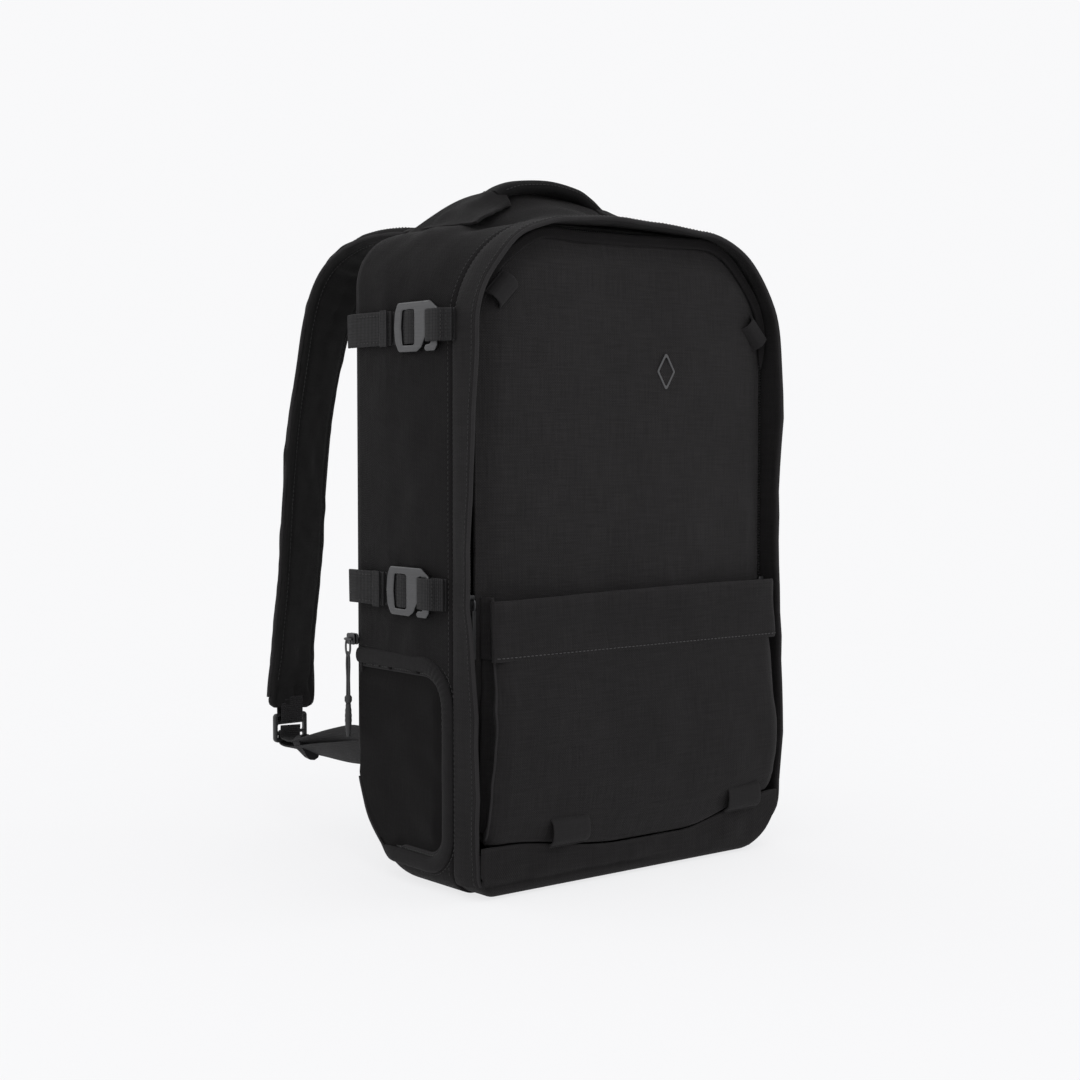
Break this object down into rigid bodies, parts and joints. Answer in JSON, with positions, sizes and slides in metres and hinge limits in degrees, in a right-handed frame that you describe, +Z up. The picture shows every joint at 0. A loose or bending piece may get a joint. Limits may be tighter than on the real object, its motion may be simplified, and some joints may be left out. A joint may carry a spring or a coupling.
{
  "type": "travel backpack",
  "caption": "Upright cabin travel backpack with clamshell front lid, bellows front pocket, side doors, compression straps with metal hooks and padded shoulder straps.",
  "frame": {"origin": "centre of the base, on the surface it stands on", "axes": "+X to the right seen from the front, -Y out of the front panel, +Z up"},
  "size_m": [0.3208, 0.3358, 0.521],
  "materials": {
    "canvas": "matte",
    "door_fabric": "matte",
    "zip_cover": "matte",
    "strap_fabric": "matte",
    "back_mesh": "matte",
    "webbing": "matte",
    "lining": "matte",
    "zip_tape": "matte",
    "hook_metal": "satin",
    "slider_metal": "satin",
    "pull_cord": "matte",
    "buckle_plastic": "satin",
    "stiffener_plastic": "matte",
    "emblem_rubber": "matte"
  },
  "bodies": {
    "pack_body": {"back_pads": "back_mesh", "back_panel": "canvas", "base_board": "stiffener_plastic", "base_tub": "canvas", "bottom_band": "canvas", "compression_strap_lower_left": "webbing", "compression_strap_lower_right": "webbing", "compression_strap_upper_left": "webbing", "compression_strap_upper_right": "webbing", "door_zip_cover_left": "zip_cover", "door_zip_cover_right": "zip_cover", "door_zips": "zip_tape", "frame_sheet": "stiffener_plastic", "handle_tabs": "webbing", "hook_loops_left": "webbing", "hook_loops_right": "webbing", "laptop_sleeve": "lining", "luggage_sleeve": "canvas", "lumbar_pad": "back_mesh", "main_zip_tape": "zip_tape", "rim_hood": "canvas", "side_panel_left": "canvas", "side_panel_right": "canvas", "side_pocket_liner_left": "lining", "side_pocket_liner_right": "lining", "strap_webbing_left": "webbing", "strap_webbing_right": "webbing", "strap_yoke": "strap_fabric", "top_gusset": "canvas", "webbing_anchors": "webbing"},
    "lid": {"emblem": "emblem_rubber", "front_panel": "canvas", "front_pocket": "canvas", "lid_mesh_pocket": "lining", "lid_zip_tape": "zip_tape", "loop_low_left": "webbing", "loop_low_right": "webbing", "loop_top_left": "webbing", "loop_top_right": "webbing", "pocket_hem": "canvas"},
    "door_pull_left": {"door_pull_left": "pull_cord"},
    "door_pull_right": {"door_pull_right": "pull_cord"},
    "door_slider_left": {"door_slider_left": "slider_metal"},
    "door_slider_right": {"door_slider_right": "slider_metal"},
    "handle": {"grab_handle": "strap_fabric"},
    "hook_lower_left": {"hook_lower_left": "hook_metal"},
    "hook_lower_right": {"hook_lower_right": "hook_metal"},
    "hook_upper_left": {"hook_upper_left": "hook_metal"},
    "hook_upper_right": {"hook_upper_right": "hook_metal"},
    "ladder_lock_left": {"ladder_lock_left": "buckle_plastic"},
    "ladder_lock_right": {"ladder_lock_right": "buckle_plastic"},
    "main_pull_left": {"main_pull_left": "pull_cord"},
    "main_pull_right": {"main_pull_right": "pull_cord"},
    "main_slider_left": {"main_slider_left": "slider_metal"},
    "main_slider_right": {"main_slider_right": "slider_metal"},
    "shoulder_strap_left": {"shoulder_strap_left": "strap_fabric"},
    "shoulder_strap_right": {"shoulder_strap_right": "strap_fabric"},
    "side_door_left": {"side_door_left": "door_fabric"},
    "side_door_right": {"side_door_right": "door_fabric"}
  },
  "joints": [
    {"name": "lid_hinge", "type": "hinge", "parent": "pack_body", "child": "lid", "pos_m": [0, -0.0735, 0.027], "axis": [1, 0, 0], "range_deg": [0, 85]},
    {"name": "side_door_left_hinge", "type": "hinge", "parent": "pack_body", "child": "side_door_left", "pos_m": [-0.15, 0.073, 0.086], "axis": [0, 0, -1], "range_deg": [0, 88]},
    {"name": "hook_upper_left_lift", "type": "slide", "parent": "pack_body", "child": "hook_upper_left", "axis": [0, 0, 1], "range_m": [0, 0.03]},
    {"name": "hook_lower_left_lift", "type": "slide", "parent": "pack_body", "child": "hook_lower_left", "axis": [0, 0, 1], "range_m": [0, 0.03]},
    {"name": "main_slider_left_run", "type": "slide", "parent": "lid", "child": "main_slider_left", "axis": [0, 0, 1], "range_m": [-0.12, 0.165]},
    {"name": "main_pull_left_swing", "type": "hinge", "parent": "main_slider_left", "child": "main_pull_left", "pos_m": [-0.143, -0.06, 0.2045], "axis": [-1, 0, 0], "range_deg": [0, 80]},
    {"name": "door_slider_left_run", "type": "slide", "parent": "pack_body", "child": "door_slider_left", "axis": [0, -1, 0], "range_m": [0, 0.065]},
    {"name": "door_pull_left_swing", "type": "hinge", "parent": "door_slider_left", "child": "door_pull_left", "pos_m": [-0.1576, 0.0765, 0.172], "axis": [0, 1, 0], "range_deg": [0, 80]},
    {"name": "shoulder_strap_left_swing", "type": "hinge", "parent": "pack_body", "child": "shoulder_strap_left", "pos_m": [-0.052, 0.081, 0.471], "axis": [1, 0, 0], "range_deg": [-15, 10], "stiffness_Nm_per_rad": 8, "springref_deg": 0.71, "deforming": ["strap_webbing_left"]},
    {"name": "ladder_lock_left_tilt", "type": "hinge", "parent": "shoulder_strap_left", "child": "ladder_lock_left", "pos_m": [-0.111, 0.237, 0.092], "axis": [1, 0, 0], "range_deg": [0, 40]},
    {"name": "side_door_right_hinge", "type": "hinge", "parent": "pack_body", "child": "side_door_right", "pos_m": [0.15, 0.073, 0.086], "axis": [0, 0, 1], "range_deg": [0, 88]},
    {"name": "hook_upper_right_lift", "type": "slide", "parent": "pack_body", "child": "hook_upper_right", "axis": [0, 0, 1], "range_m": [0, 0.03]},
    {"name": "hook_lower_right_lift", "type": "slide", "parent": "pack_body", "child": "hook_lower_right", "axis": [0, 0, 1], "range_m": [0, 0.03]},
    {"name": "main_slider_right_run", "type": "slide", "parent": "lid", "child": "main_slider_right", "axis": [0, 0, 1], "range_m": [-0.12, 0.165]},
    {"name": "main_pull_right_swing", "type": "hinge", "parent": "main_slider_right", "child": "main_pull_right", "pos_m": [0.143, -0.06, 0.2045], "axis": [-1, 0, 0], "range_deg": [0, 80]},
    {"name": "door_slider_right_run", "type": "slide", "parent": "pack_body", "child": "door_slider_right", "axis": [0, -1, 0], "range_m": [0, 0.065]},
    {"name": "door_pull_right_swing", "type": "hinge", "parent": "door_slider_right", "child": "door_pull_right", "pos_m": [0.1576, 0.0765, 0.172], "axis": [0, -1, 0], "range_deg": [0, 80]},
    {"name": "shoulder_strap_right_swing", "type": "hinge", "parent": "pack_body", "child": "shoulder_strap_right", "pos_m": [0.052, 0.081, 0.471], "axis": [1, 0, 0], "range_deg": [-15, 10], "stiffness_Nm_per_rad": 8, "springref_deg": 0.71, "deforming": ["strap_webbing_right"]},
    {"name": "ladder_lock_right_tilt", "type": "hinge", "parent": "shoulder_strap_right", "child": "ladder_lock_right", "pos_m": [0.111, 0.237, 0.092], "axis": [1, 0, 0], "range_deg": [0, 40]},
    {"name": "handle_swing", "type": "hinge", "parent": "pack_body", "child": "handle", "pos_m": [0, 0.04, 0.491], "axis": [1, 0, 0], "range_deg": [-15, 15], "stiffness_Nm_per_rad": 0.2}
  ]
}
